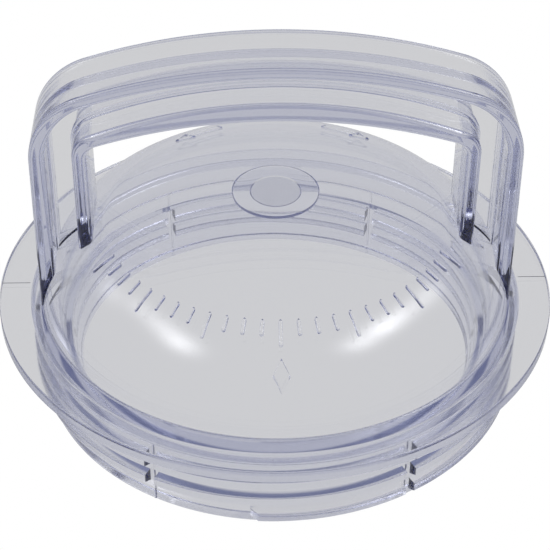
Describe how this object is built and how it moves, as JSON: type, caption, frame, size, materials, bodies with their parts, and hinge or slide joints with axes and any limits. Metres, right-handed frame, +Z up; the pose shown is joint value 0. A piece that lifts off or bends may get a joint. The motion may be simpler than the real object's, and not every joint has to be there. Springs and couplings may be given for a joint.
{
  "type": "pump strainer lid",
  "caption": "Clear round screw-in lid with a domed window, a flat flange, a threaded skirt below and a tall arched carrying handle above.",
  "frame": {"origin": "centre of the skirt's lower rim, on the surface the lid stands on", "axes": "+Z up along the thread's axis, X along the handle, -Y the front that the pointer marks"},
  "size_m": [0.2, 0.2, 0.1341],
  "materials": {
    "clear_window": "polished clear moulding",
    "clear_body": "clear moulding, gloss",
    "clear_handle": "clear moulding, gloss"
  },
  "bodies": {
    "root": {"dome_crown": "clear_window", "dome_shoulder": "clear_window", "flange": "clear_body", "sealing_collar": "clear_body", "skirt": "clear_body", "thread_sector_1": "clear_body", "thread_sector_2": "clear_body", "thread_sector_3": "clear_body", "thread_sector_4": "clear_body", "thread_sector_5": "clear_body", "thread_sector_6": "clear_body", "split_ribs": "clear_body", "handle_outer_rail": "clear_handle", "handle_inner_rail": "clear_handle", "handle_web": "clear_handle", "gate_disc": "clear_window", "gate_vestige": "clear_window", "tick_marks": "clear_window", "front_pointer": "clear_window", "turn_arrow_left": "clear_window", "turn_arrow_right": "clear_window"}
  },
  "joints": []
}
